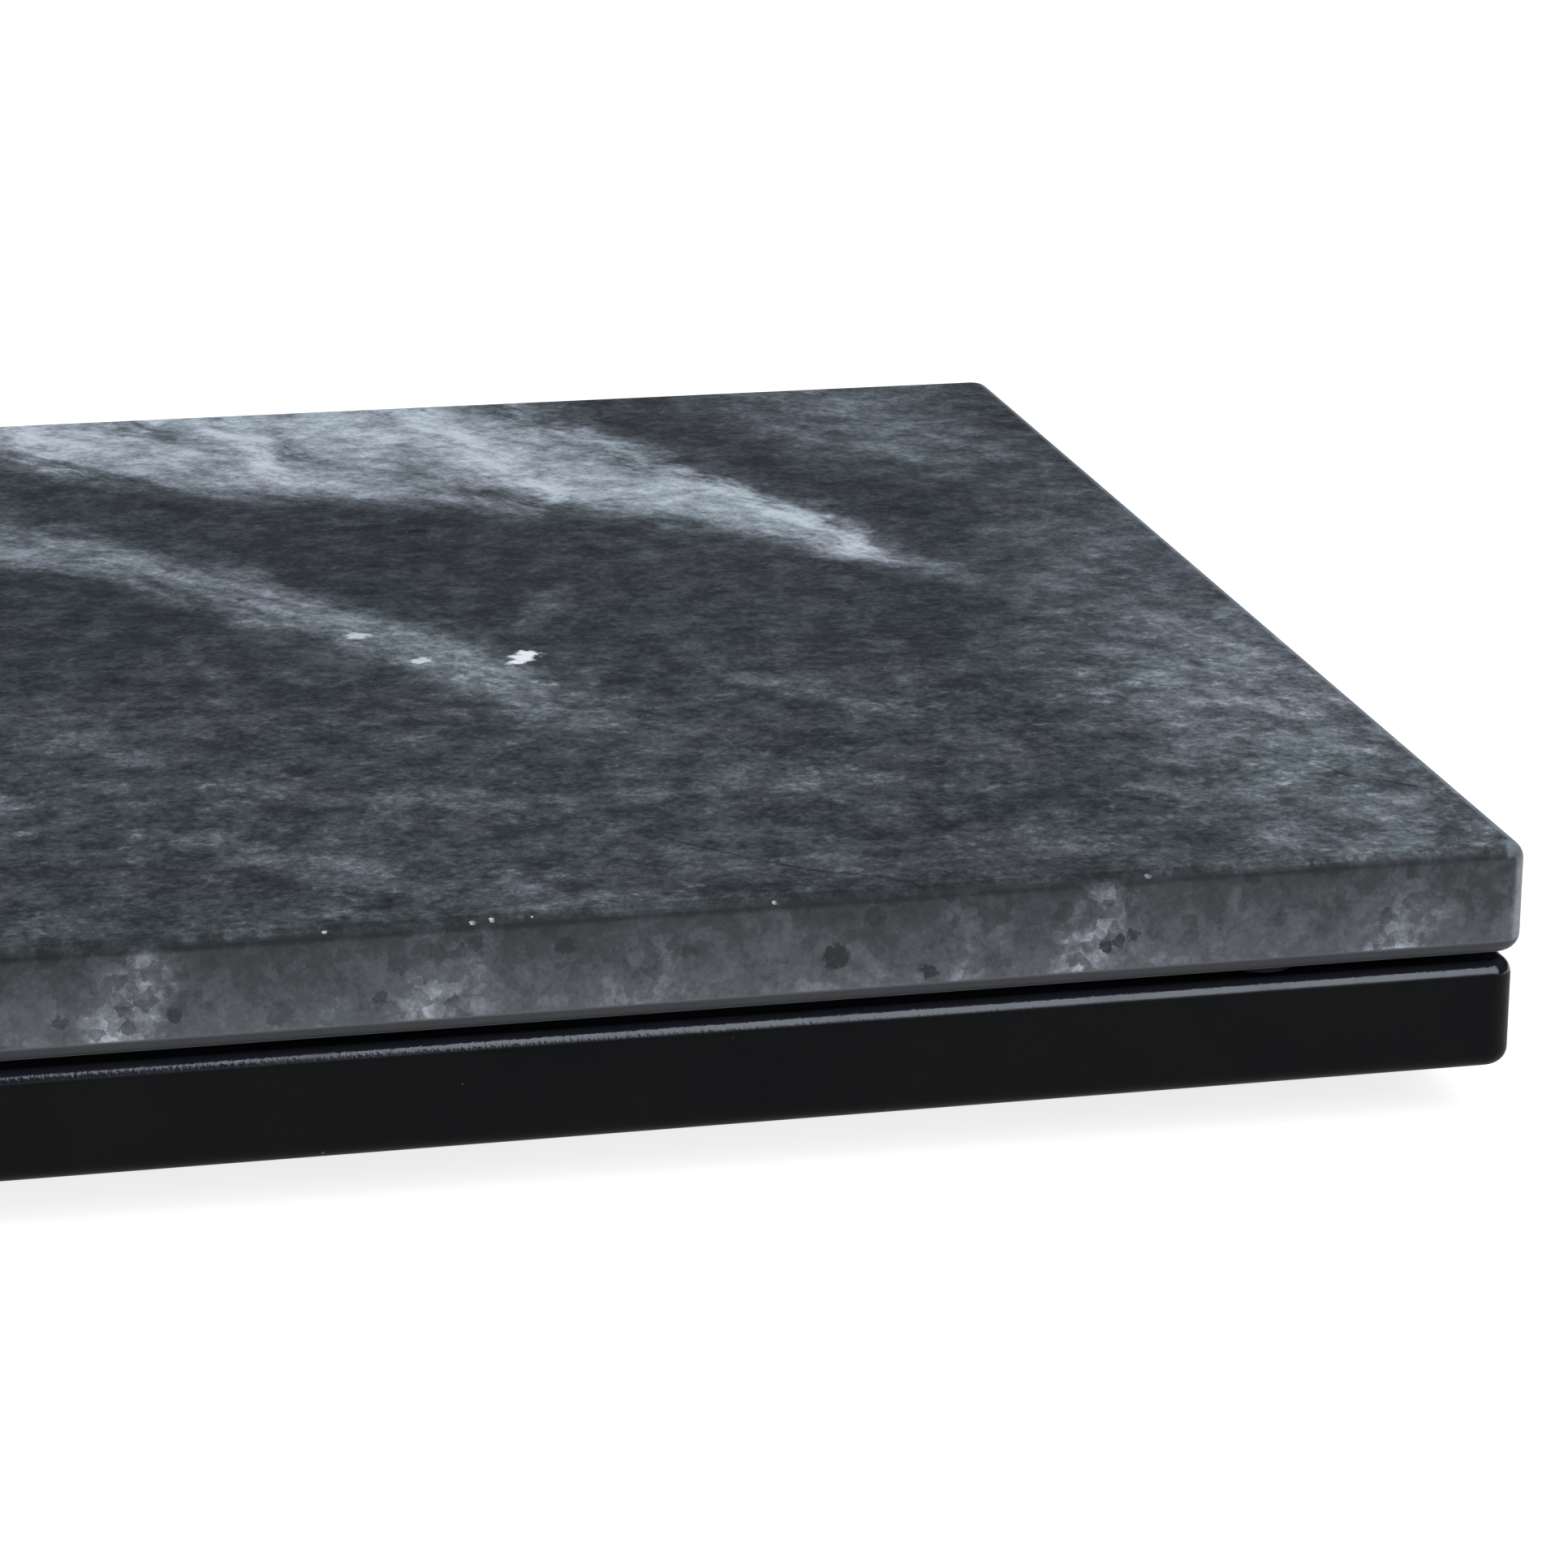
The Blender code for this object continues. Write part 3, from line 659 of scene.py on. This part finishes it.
def rubber_material():
    tree = Tree("black_rubber")
    place = tree.place()
    grain = tree.noise(place, 0.0006, 4, 0.7)
    bloom = tree.noise(place, 0.006, 4, 0.6)
    colour = tree.ramp(bloom, ((0.35, srgb(20, 20, 20)), (0.70, srgb(42, 42, 41))))
    rough = tree.span(grain, 0.3, 0.7, 0.72, 0.92)
    return tree.shade(colour, rough, tree.bump(grain, 0.00010, 0.7), 0.25)


def zinc_material():
    """Bright zinc plate: a faint yellow and blue bloom, fine scratches, dull rubbed places."""
    tree = Tree("zinc_plate")
    place = tree.place()
    bloom = tree.noise(place, 0.005, 4, 0.6)
    colour = tree.ramp(bloom, ((0.30, (0.52, 0.55, 0.60, 1)), (0.52, (0.66, 0.66, 0.64, 1)),
                               (0.74, (0.70, 0.64, 0.50, 1))))
    tarnish = tree.span(tree.noise(place, 0.0022, 5, 0.7), 0.58, 0.74)
    colour = tree.mix(tree.times(tarnish, 0.5), colour, (0.22, 0.22, 0.21, 1))
    scratches = tree.noise(tree.vector("MULTIPLY", place, (1, 1, 9)), 0.0008, 3, 0.6)
    rough = tree.math("MULTIPLY_ADD", tarnish, 0.25, tree.span(scratches, 0.3, 0.7, 0.24, 0.44))
    tree.shader.inputs["Metallic"].default_value = 1.0
    return tree.shade(colour, rough, tree.bump(scratches, 0.00003, 0.6))


def nylon_material():
    tree = Tree("black_nylon")
    place = tree.place()
    spark = tree.noise(place, 0.0004, 3, 0.6)
    flow = tree.noise(place, 0.008, 4, 0.6, 1.5)
    colour = tree.ramp(flow, ((0.35, srgb(30, 30, 31)), (0.70, srgb(46, 46, 48))))
    rough = tree.span(flow, 0.3, 0.7, 0.42, 0.58)
    return tree.shade(colour, rough, tree.bump(spark, 0.00006, 0.6), 0.35)


# --- Slab ---
# Chips along the arrises: the edge, the place along it from the slab's middle, and the length.
CHIPS = (
    ("front", -0.262, 0.0020), ("front", -0.171, 0.0014), ("front", -0.118, 0.0024),
    ("front", -0.047, 0.0016),
    ("front", 0.0905, 0.0012), ("front", 0.1150, 0.0012), ("front", 0.1182, 0.0019),
    ("front", 0.1252, 0.0015), ("front", 0.1660, 0.0010), ("front", 0.2310, 0.0013),
    ("right", -0.1350, 0.0014), ("right", -0.0320, 0.0018), ("right", 0.0840, 0.0015),
    ("right", 0.1510, 0.0012),
    ("back", -0.210, 0.0020), ("back", -0.066, 0.0016), ("back", 0.122, 0.0022),
    ("left", -0.110, 0.0018), ("left", 0.048, 0.0020), ("left", 0.139, 0.0014),
)
CHIP_DEPTH = 0.00034


def slab_blank(low, high):
    """The slab with its rounded arrises, before any wear."""
    radius = ARRIS_RADIUS
    steps = 8
    section = [(radius + x, low.z + radius + z) for x, z in arc((0, 0), radius, 270, 180, steps)]
    section += [(radius + x, high.z - radius + z) for x, z in arc((0, 0), radius, 180, 90, steps)]
    loops = []
    for inset, height in section:
        plan = plan_loop(low, high, inset, SLAB_CORNER_RADIUS - inset, 10)
        loops.append([(x, y, height) for x, y in plan])
    return skin("slab", loops)


def chip_cutter(low, high, chance):
    """Ragged lumps that each bite a little out of an arris."""
    lumps = bmesh.new()
    # The middle of an arris surface lies this far inside the sharp corner.
    inside = ARRIS_RADIUS * (1 - math.sqrt(0.5))
    for edge, along, length in CHIPS:
        lump = bmesh.ops.create_icosphere(lumps, subdivisions=2, radius=1)["verts"]
        shape = {vertex: 1 + chance.uniform(-0.24, 0.24) for vertex in lump}
        wide = length / 2
        deep = length * 0.42
        for vertex in lump:
            x, y, z = vertex.co * shape[vertex]
            vertex.co = Vector((x * wide, y * deep, z * deep))
        out = deep - CHIP_DEPTH * (0.6 + length / 0.006)
        push = inside - out * math.sqrt(0.5)
        height = high.z - push + chance.uniform(-0.0006, 0.0006)
        places = {
            "front": (Vector((along, low.y + push, height)), 0),
            "back": (Vector((along, high.y - push, height)), 0),
            "right": (Vector((high.x - push, along, height)), 90),
            "left": (Vector((low.x + push, along, height)), 90),
        }
        place, turn = places[edge]
        move = Matrix.Translation(place) @ Matrix.Rotation(math.radians(turn), 4, "Z")
        bmesh.ops.transform(lumps, matrix=move, verts=lump)
    mesh = bpy.data.meshes.new("chip lumps")
    lumps.to_mesh(mesh)
    lumps.free()
    return mesh


def make_slab(stone, fresh):
    low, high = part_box("stone_slab")
    slab = new_object("slab", slab_blank(low, high), smooth=0)
    slab.data.materials.append(stone)
    cutter = new_object("chip_cutter", chip_cutter(low, high, random.Random(5)), smooth=0)
    cutter.data.materials.append(fresh)
    boolean = slab.modifiers.new("chips", "BOOLEAN")
    boolean.object = cutter
    boolean.operation = "DIFFERENCE"
    boolean.solver = "EXACT"
    boolean.material_mode = "TRANSFER"
    baked(slab)
    bpy.data.objects.remove(cutter)
    mesh = slab.data
    mesh.shade_smooth()
    mesh.set_sharp_from_angle(angle=math.radians(32))
    shell = bmesh.new()
    shell.from_mesh(mesh)
    for edge in shell.edges:
        if len({face.material_index for face in edge.link_faces}) > 1:
            edge.smooth = False
    shell.to_mesh(mesh)
    shell.free()
    even_shading(slab)
    return finish_piece(slab, "slab", [stone, fresh], ["stone_slab"])


def even_shading(piece):
    """Lets the large flat faces set the shading where they meet rounded edges."""
    weighted = piece.modifiers.new("even shading", "WEIGHTED_NORMAL")
    weighted.keep_sharp = True
    weighted.weight = 100
    return baked(piece)


# --- Welded base ---
def corner_sides(corner):
    return 1 if corner.endswith("right") else -1, 1 if corner.startswith("back") else -1


def rail_box():
    lows, highs = zip(*(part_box(rail) for rail in OUTER_RAILS))
    return (Vector(min(low[axis] for low in lows) for axis in range(3)),
            Vector(max(high[axis] for high in highs) for axis in range(3)))


def tube_section(size):
    """A square tube's outline as (distance from its outer face, height from its underside)."""
    radius = TUBE_CORNER_RADIUS
    far = size - radius
    points = []
    for quarter, centre in enumerate(((radius, radius), (far, radius), (far, far), (radius, far))):
        points += arc(centre, radius, 180 + 90 * quarter, 270 + 90 * quarter, 8)
    return points


def make_base_ring(coat):
    low, high = rail_box()
    size = high.z - low.z
    loops = []
    for inset, height in tube_section(size):
        plan = plan_loop(low, high, inset, FRAME_GROUND_RADIUS - inset, 8)
        loops.append([(x, y, low.z + height) for x, y in plan])
    ring = new_object("base_ring", skin("base_ring", loops, closed_ring=True))
    even_shading(ring)
    return finish_piece(ring, "frame", [coat], OUTER_RAILS)


def make_cross_tube(side, coat):
    node = side + "_cross_rail"
    low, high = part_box(node)
    ring_low, ring_high = rail_box()
    size = high.z - low.z
    # The ends sink a little into the rails' rounded edges, where the welds cover them.
    ends = (ring_low.y + size - SEAT_GAP, ring_high.y - size + SEAT_GAP)
    loops = [[(low.x + x, y, low.z + z) for x, z in tube_section(size)] for y in ends]
    tube = new_object(side + "_cross_tube", skin(node + "_finish", loops))
    even_shading(tube)
    return finish_piece(tube, "frame", [coat], [node])


def bead_loops(start, end, first, second, width, chance):
    """A rippled fillet along a line, lying against the faces that run off along first and second."""
    start, end = Vector(start), Vector(end)
    first, second = Vector(first), Vector(second)
    length = (end - start).length
    count = max(8, round(length / WELD_STEP))
    loops = []
    for index in range(count + 1):
        share = index / count
        phase = (share * length / WELD_RIPPLE) % 1
        taper = min(1, 0.35 + 5 * share, 0.35 + 5 * (1 - share))
        reach = width * taper * (0.90 + 0.13 * math.sqrt(1 - phase)) * (1 + chance.uniform(-0.03, 0.03))
        spot = start.lerp(end, share)
        root = spot - (first + second) * width * 0.15
        loop = [root]
        for step in range(7):
            angle = math.radians(90 * step / 6)
            bulge = reach * (0.80 + 0.20 * abs(math.cos(2 * angle)))
            loop.append(spot + first * bulge * math.cos(angle) + second * bulge * math.sin(angle))
        loops.append(loop)
    return loops


def joined(name, meshes):
    shell = bmesh.new()
    for mesh in meshes:
        shell.from_mesh(mesh)
        bpy.data.meshes.remove(mesh)
    mesh = bpy.data.meshes.new(name)
    shell.to_mesh(mesh)
    shell.free()
    return mesh


def make_welds(coat):
    chance = random.Random(11)
    beads = []

    def bead(start, end, first, second, width):
        beads.append(skin("bead", bead_loops(start, end, first, second, width, chance)))

    ring_low, ring_high = rail_box()
    size = ring_high.z - ring_low.z
    inner_x = ring_high.x - size
    inner_y = ring_high.y - size
    bottom, top = ring_low.z + TUBE_CORNER_RADIUS, ring_high.z - TUBE_CORNER_RADIUS
    for side in ("left", "right"):
        low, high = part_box(side + "_cross_rail")
        for way in (-1, 1):
            y = way * inner_y
            for x, out in ((low.x, -1), (high.x, 1)):
                bead((x, y, bottom), (x, y, top), (out, 0, 0), (0, -way, 0), CROSS_WELD)
            x0, x1 = low.x + TUBE_CORNER_RADIUS, high.x - TUBE_CORNER_RADIUS
            under = ring_low.z + 0.0008
            bead((x0, y, under), (x1, y, under), (0, -way, 0), (0, 0, -1), UNDER_WELD)
    for corner in CORNERS:
        side_x, side_y = corner_sides(corner)
        x, y = side_x * inner_x, side_y * inner_y
        low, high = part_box("gusset_" + corner)
        bead((x, y, high.z), (x, y, top), (-side_x, 0, 0), (0, -side_y, 0), GUSSET_WELD)
        for near, far in ((0.012, 0.032), (0.046, 0.066)):
            bead((x - side_x * near, y, high.z), (x - side_x * far, y, high.z), (0, -side_y, 0),
                 (0, 0, 1), GUSSET_WELD)
            bead((x, y - side_y * near, high.z), (x, y - side_y * far, high.z), (-side_x, 0, 0),
                 (0, 0, 1), GUSSET_WELD)
        beads += nut_tacks(corner, high.z, chance)
    welds = new_object("base_welds", joined("base_welds", beads), smooth=50)
    return finish_piece(welds, "frame", [coat])


def nut_tacks(corner, seat, chance):
    """Three short fillets on flats of the weld nut."""
    low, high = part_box("weld_nut_" + corner)
    centre = (low + high) / 2
    flat = min(high.x - low.x, high.y - low.y) / 2
    upright = high.y - low.y > high.x - low.x
    tacks = []
    for turn in (0, 120, 240):
        angle = math.radians(turn + (0 if upright else 90))
        out = Vector((math.cos(angle), math.sin(angle), 0))
        across = Vector((-out.y, out.x, 0))
        middle = Vector((centre.x, centre.y, seat)) + out * flat
        half = across * TACK_HALF_LENGTH
        loops = bead_loops(middle - half, middle + half, out, (0, 0, 1), TACK_WELD, chance)
        tacks.append(skin("tack", loops))
    return tacks


def reach(outline, angle):
    """How far a ray from the origin goes before it leaves a convex outline around it."""
    ray = Vector((math.cos(angle), math.sin(angle)))
    best = math.inf
    for first, second in zip(outline, outline[1:] + outline[:1]):
        start = Vector(first)
        run = Vector(second) - start
        across = ray.x * run.y - ray.y * run.x
        if abs(across) > 1e-12:
            distance = (start.x * run.y - start.y * run.x) / across
            if distance > 0:
                best = min(best, distance)
    return best


def ringed(name, centre, outline, section):
    """A closed ring about a vertical axis. section gives its (radius, z) points where the outline
    is that far out, and the outline's own corners are kept."""
    angles = [2 * math.pi * step / RING_STEPS for step in range(RING_STEPS)]
    corners = [math.atan2(y, x) % (2 * math.pi) for x, y in outline]
    angles = [a for a in angles if all(abs(a - corner) > 0.02 for corner in corners)]
    angles = sorted(angles + corners)
    sections = [section(reach(outline, angle)) for angle in angles]
    loops = []
    for level in range(len(sections[0])):
        loop = []
        for angle, points in zip(angles, sections):
            radius, height = points[level]
            x, y = centre.x + radius * math.cos(angle), centre.y + radius * math.sin(angle)
            loop.append((x, y, height))
        loops.append(loop)
    return skin(name, loops, closed_ring=True)


def hexagon(low, high):
    """The corners of a hexagon that fills a box's plan, and the radius of its flat top."""
    size = high - low
    flats = min(size.x, size.y)
    turn = 90 if size.y > size.x else 0
    corners = arc((0, 0), flats / math.sqrt(3), turn, turn + 300, 5)
    return corners, flats / 2 * NUT_CROWN_SHARE


def nut_mesh(node):
    """A hexagon nut with chamfered corners and a countersunk bore."""
    low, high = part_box(node)
    centre = (low + high) / 2
    outline, crown = hexagon(low, high)
    lead = 0.0004

    def section(out):
        drop = (out - crown) * NUT_CHAMFER_SLOPE
        return (
            (NUT_BORE_RADIUS, low.z + lead), (NUT_BORE_RADIUS, high.z - lead),
            (NUT_BORE_RADIUS + lead, high.z), (crown, high.z), (out, high.z - drop),
            (out, low.z + drop), (crown, low.z), (NUT_BORE_RADIUS + lead, low.z),
        )

    return ringed("nut", centre, outline, section)


def make_corner_hardware(corner, coat, zinc):
    side_x, side_y = corner_sides(corner)
    low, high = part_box("gusset_" + corner)
    stud_low, stud_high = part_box("foot_stud_" + corner)
    axis = (stud_low + stud_high) / 2
    bore = GUSSET_BORE_RADIUS
    bevel = 0.0005
    lead = 0.0002
    outer_x, inner_x = (high.x, low.x) if side_x > 0 else (low.x, high.x)
    outer_y, inner_y = (high.y, low.y) if side_y > 0 else (low.y, high.y)
    outline = [(outer_x, outer_y), (inner_x, outer_y), (inner_x, outer_y - side_y * GUSSET_TIP),
               (outer_x - side_x * GUSSET_TIP, inner_y), (outer_x, inner_y)]
    outline = [(x - axis.x, y - axis.y) for x, y in outline]

    def section(out):
        return (
            (bore, low.z + lead), (bore, high.z - lead), (bore + lead, high.z),
            (out - bevel, high.z), (out, high.z - bevel), (out, low.z + bevel),
            (out - bevel, low.z), (bore + lead, low.z),
        )

    plate = new_object("corner_gusset_" + corner, ringed("gusset", axis, outline, section), smooth=25)
    finish_piece(plate, "frame", [coat], ["gusset_" + corner])
    nut = new_object("welded_nut_" + corner, nut_mesh("weld_nut_" + corner), smooth=25)
    finish_piece(nut, "frame", [coat], ["weld_nut_" + corner])
    jam = new_object("lock_nut_" + corner, nut_mesh("jam_nut_" + corner), smooth=25)
    finish_piece(jam, "frame", [zinc], ["jam_nut_" + corner])


# --- Feet ---
def thread_mesh(axis, bottom, top, root):
    """A thread ridge on a helix, running out at both ends."""
    turns = (top - bottom) / THREAD_PITCH - 1
    count = round(turns * THREAD_STEPS)
    loops = []
    for index in range(count + 1):
        turn = index / THREAD_STEPS
        angle = 2 * math.pi * turn
        taper = min(1, 2 * index / THREAD_STEPS, 2 * (count - index) / THREAD_STEPS)
        peak = root + (STUD_RADIUS - root) * taper
        sunk = root - 0.00005
        base = bottom + turn * THREAD_PITCH
        loop = []
        for share, radius in ((0.06, sunk), (0.44, peak), (0.56, peak), (0.94, sunk)):
            loop.append((axis.x + radius * math.cos(angle), axis.y + radius * math.sin(angle),
                         base + share * THREAD_PITCH))
        loops.append(loop)
    return skin("thread", loops)


def make_stud(corner, zinc):
    low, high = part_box("foot_stud_" + corner)
    axis = (low + high) / 2
    base_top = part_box("foot_base_" + corner)[1].z
    nut_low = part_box("jam_nut_" + corner)[0].z
    hex_low, hex_high = base_top + SEAT_GAP, nut_low - SEAT_GAP
    root = STUD_RADIUS - THREAD_DEPTH
    pivot = STUD_PIVOT_RADIUS
    profile = [(0, low.z), (pivot - 0.0004, low.z), (pivot, low.z + 0.0004), (pivot, hex_low + 0.0004),
               (root, hex_low + 0.0008), (root, high.z - 0.0006), (root - 0.0006, high.z), (0, high.z)]
    core = turned("core", profile, axis)
    outline, crown = hexagon(low, high)

    def section(out):
        drop = (out - crown) * NUT_CHAMFER_SLOPE
        return ((root - 0.0002, hex_low), (root - 0.0002, hex_high), (crown, hex_high),
                (out, hex_high - drop), (out, hex_low + drop), (crown, hex_low))

    flange = ringed("flange", axis, outline, section)
    thread = thread_mesh(axis, hex_high, high.z - 0.0002, root)
    stud = new_object("levelling_stud_" + corner, joined("stud", [core, flange, thread]), smooth=25)
    return finish_piece(stud, "stud_" + corner, [zinc], ["foot_stud_" + corner])


def make_foot(corner, nylon, rubber):
    low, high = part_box("foot_base_" + corner)
    centre = (low + high) / 2
    outer = (high.x - low.x) / 2
    stud_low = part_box("foot_stud_" + corner)[0].z
    socket = stud_low - SEAT_GAP
    flange = low.z + 0.0016
    profile = [(0, socket), (0.0045, socket), (0.0045, high.z - 0.0003), (0.0048, high.z),
               (0.0070, high.z)]
    profile += arc((0.0070, high.z - 0.0006), 0.0006, 90, 30, 4)
    profile += [(0.0096, flange + 0.00085), (0.0099, flange + 0.00060), (0.0103, flange + 0.00060),
                (0.0106, flange + 0.00066)]
    profile += arc((outer - 0.0005, flange - 0.0003), 0.0005, 75, 0, 4)
    profile += arc((outer - 0.0003, low.z + 0.0003), 0.0003, 0, -90, 3)
    profile += [(0, low.z)]
    base = new_object("foot_cup_" + corner, turned("foot", profile, centre, FOOT_STEPS))
    finish_piece(base, "foot_" + corner, [nylon], ["foot_base_" + corner])

    low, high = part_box("foot_pad_" + corner)
    outer = (high.x - low.x) / 2
    profile = [(0, high.z), (outer - 0.0003, high.z)]
    profile += arc((outer - 0.0003, high.z - 0.0003), 0.0003, 90, 0, 3)[1:]
    profile += arc((outer - 0.0004, low.z + 0.0004), 0.0004, 0, -90, 3)
    for ring in (0.0105, 0.0075, 0.0045):
        profile += [(ring + 0.0006, low.z), (ring + 0.0004, low.z + 0.0005),
                    (ring - 0.0004, low.z + 0.0005), (ring - 0.0006, low.z)]
    profile += [(0, low.z)]
    pad = new_object("foot_tread_" + corner, turned("pad", profile, centre, FOOT_STEPS))
    finish_piece(pad, "foot_" + corner, [rubber], ["foot_pad_" + corner])


def make_slab_pad(place, rubber):
    """A stick-on bumper: a thin skirt, a step and a low flat dome."""
    low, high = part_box("slab_pad_" + place)
    centre = (low + high) / 2
    outer = (high.x - low.x) / 2
    profile = [(0, low.z), (outer, low.z), (outer, low.z + 0.0003)]
    profile += arc((outer - 0.0012, high.z - 0.0010), 0.0010, 0, 80, 5)
    profile += [(outer - 0.0030, high.z), (0, high.z)]
    pad = new_object("bumper_" + place, turned("bumper", profile, centre))
    return finish_piece(pad, "frame", [rubber], ["slab_pad_" + place])


# --- Stage ---
def make_floor():
    tree = Tree("pale_floor")
    place = tree.place()
    tone = tree.noise(place, 0.6, 3, 0.5)
    colour = tree.ramp(tone, ((0.3, (0.40, 0.40, 0.40, 1)), (0.7, (0.44, 0.44, 0.44, 1))))
    # The floor glows a little, as a light table does, so that the shadows on it stay pale.
    tree.shader.inputs["Emission Color"].default_value = (1, 1, 1, 1)
    tree.shader.inputs["Emission Strength"].default_value = FLOOR_GLOW
    shell = bmesh.new()
    bmesh.ops.create_grid(shell, x_segments=8, y_segments=8, size=FLOOR_HALF_SIZE)
    mesh = bpy.data.meshes.new("floor")
    shell.to_mesh(mesh)
    shell.free()
    floor = new_object("floor", mesh)
    rough = tree.span(tone, 0.3, 0.7, 0.90, 1.0)
    floor.data.materials.append(tree.shade(colour, rough, level=0.1))


def make_world():
    """A dim dome with a bright cap overhead."""
    world = bpy.data.worlds.new("soft dome")
    bpy.context.scene.world = world
    world.use_nodes = True
    nodes, links = world.node_tree.nodes, world.node_tree.links
    direction = nodes.new("ShaderNodeTexCoord").outputs["Generated"]
    split = nodes.new("ShaderNodeSeparateXYZ")
    links.new(direction, split.inputs[0])
    ramp = nodes.new("ShaderNodeValToRGB")
    links.new(split.outputs[2], ramp.inputs[0])
    elements = ramp.color_ramp.elements
    elements[0].position, elements[0].color = 0.30, (0.04, 0.04, 0.042, 1)
    elements[1].position, elements[1].color = 0.97, (2.1, 2.1, 2.1, 1)
    elements.new(0.50).color = (0.08, 0.09, 0.13, 1)
    elements.new(0.84).color = (0.13, 0.15, 0.21, 1)
    background = nodes["Background"]
    links.new(ramp.outputs[0], background.inputs["Color"])
    background.inputs["Strength"].default_value = 1.0


def make_softbox():
    lamp = bpy.data.lights.new("front right", "AREA")
    lamp.shape = "RECTANGLE"
    lamp.size, lamp.size_y = SOFTBOX_SIZE
    lamp.energy = SOFTBOX_POWER
    softbox = bpy.data.objects.new("front right", lamp)
    softbox.location = SOFTBOX_PLACE
    softbox.rotation_mode = "QUATERNION"
    softbox.rotation_quaternion = (SOFTBOX_TARGET - SOFTBOX_PLACE).to_track_quat("-Z", "Y")
    bpy.context.scene.collection.objects.link(softbox)


def make_camera():
    low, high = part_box("stone_slab")
    camera = bpy.data.objects.new("camera", bpy.data.cameras.new("camera"))
    bpy.context.scene.collection.objects.link(camera)
    camera.data.lens = CAMERA_LENS
    camera.data.clip_start = 0.02
    camera.location = Vector((high.x, low.y, high.z)) + CAMERA_OFFSET
    turn = Matrix.Rotation(math.radians(-CAMERA_YAW), 4, "Z")
    tilt = Matrix.Rotation(math.radians(90 - CAMERA_PITCH), 4, "X")
    roll = Matrix.Rotation(math.radians(CAMERA_ROLL), 4, "Z")
    camera.rotation_mode = "QUATERNION"
    camera.rotation_quaternion = (turn @ tilt @ roll).to_quaternion()
    bpy.context.scene.camera = camera


stone = stone_material()
fresh_stone = fresh_stone_material()
powder_coat = powder_coat_material()
rubber = rubber_material()
zinc = zinc_material()
nylon = nylon_material()

make_slab(stone, fresh_stone)
make_base_ring(powder_coat)
for side in ("left", "right"):
    make_cross_tube(side, powder_coat)
make_welds(powder_coat)
for corner in CORNERS:
    make_corner_hardware(corner, powder_coat, zinc)
    make_stud(corner, zinc)
    make_foot(corner, nylon, rubber)
for place in PAD_PLACES:
    make_slab_pad(place, rubber)

make_floor()
make_world()
make_softbox()
make_camera()
bpy.context.scene.view_settings.view_transform = "Standard"
